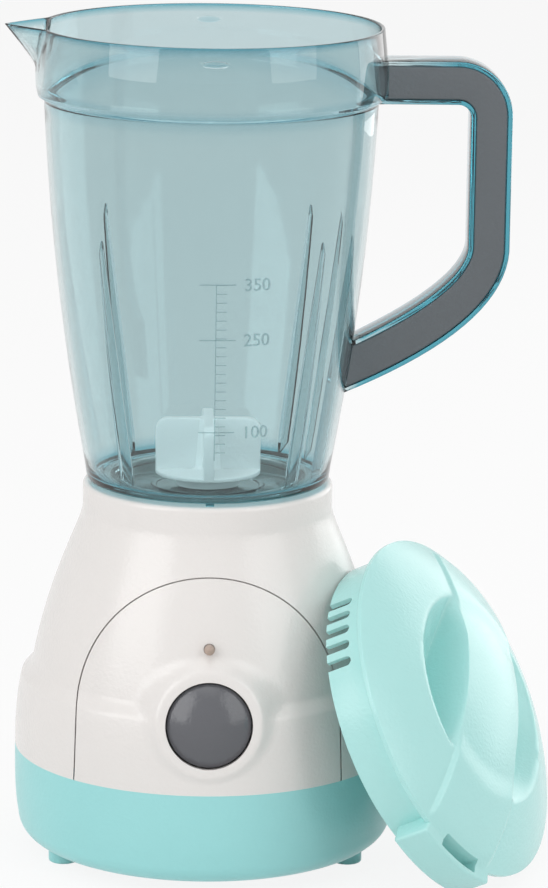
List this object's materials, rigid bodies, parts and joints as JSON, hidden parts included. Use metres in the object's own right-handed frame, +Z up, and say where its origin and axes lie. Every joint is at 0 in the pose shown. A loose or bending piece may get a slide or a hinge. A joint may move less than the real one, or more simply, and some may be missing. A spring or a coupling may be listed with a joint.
{
  "type": "toy blender",
  "caption": "Toy blender with a battery base, a front button, a lift-off clear jug with a handle, spout and spinning beater, and a strainer lid leaning on the base.",
  "frame": {"origin": "on the table, on the jug's axis, at the centre of the four feet", "axes": "+Z up along the jug's axis, -Y towards the button, +X towards the handle"},
  "size_m": [0.1737, 0.1401, 0.2615],
  "materials": {
    "turquoise": "moulded, semi-gloss",
    "white": "moulded, semi-gloss",
    "button_grey": "polished",
    "grip_grey": "fine texture",
    "clear_teal": "clear tinted moulding",
    "milky_white": "translucent milky moulding",
    "lid_aqua": "translucent pale moulding",
    "lamp": "clear lamp, unlit",
    "steel": "plated",
    "cell": "printed sleeve, plain",
    "black_moulding": "moulded",
    "board": "solder mask",
    "lead_red": "insulated wire",
    "lead_black": "insulated wire",
    "nylon": "natural moulding",
    "copper": "wound and lacquered",
    "seal": "soft ring"
  },
  "bodies": {
    "base": {"base_tray": "turquoise", "battery_front": "cell", "battery_rear": "cell", "bridge_contact": "steel", "terminal_positive": "steel", "terminal_negative": "steel", "housing_screws": "steel", "housing_shell": "white", "front_panel": "white", "button_spring": "steel", "push_switch": "black_moulding", "circuit_board": "board", "board_screws": "steel", "indicator_lamp": "lamp", "lead_battery_red": "lead_red", "lead_battery_black": "lead_black", "lead_motor_red": "lead_red", "lead_motor_black": "lead_black", "motor_can": "steel", "motor_end_cap": "nylon", "motor_magnets": "black_moulding", "motor_mount": "black_moulding", "motor_mount_screws": "steel"},
    "battery_door": {"battery_door": "turquoise", "battery_door_screws": "steel"},
    "button": {"start_button": "button_grey", "switch_plunger": "black_moulding"},
    "drive": {"motor_rotor": "copper", "motor_shaft": "steel", "drive_dog": "nylon"},
    "jug": {"jug": "clear_teal", "jug_handle": "clear_teal", "handle_grip_front": "grip_grey", "handle_grip_back": "grip_grey", "shaft_bush": "nylon", "shaft_seal": "seal"},
    "beater": {"beater_shaft": "steel", "shaft_clip": "steel", "driven_dog": "nylon", "beater": "milky_white"},
    "lid": {"lid": "lid_aqua"}
  },
  "joints": [
    {"name": "button_press", "type": "slide", "parent": "base", "child": "button", "axis": [0, 0.989, -0.1478], "range_m": [0, 0.002], "stiffness_N_per_m": 800, "springref_m": -0.0012, "deforming": ["button_spring"]},
    {"name": "drive_spin", "type": "hinge", "parent": "base", "child": "drive", "pos_m": [0, 0, 0.09], "axis": [0, 0, 1], "continuous": true},
    {"name": "jug_lift", "type": "slide", "parent": "base", "child": "jug", "axis": [0, 0, 1], "range_m": [0, 0.06]},
    {"name": "beater_spin", "type": "hinge", "parent": "jug", "child": "beater", "pos_m": [0, 0, 0.12], "axis": [0, 0, 1], "continuous": true},
    {"name": "battery_door_lift", "type": "slide", "parent": "base", "child": "battery_door", "axis": [0, 0, -1], "range_m": [0, 0.03]},
    {"name": "lid_away", "type": "slide", "parent": "base", "child": "lid", "axis": [0.9461, -0.3239, 0], "range_m": [0, 0.05]}
  ],
  "couplings": [
    {"joint": "beater_spin", "follows": "drive_spin", "ratio": 1}
  ]
}
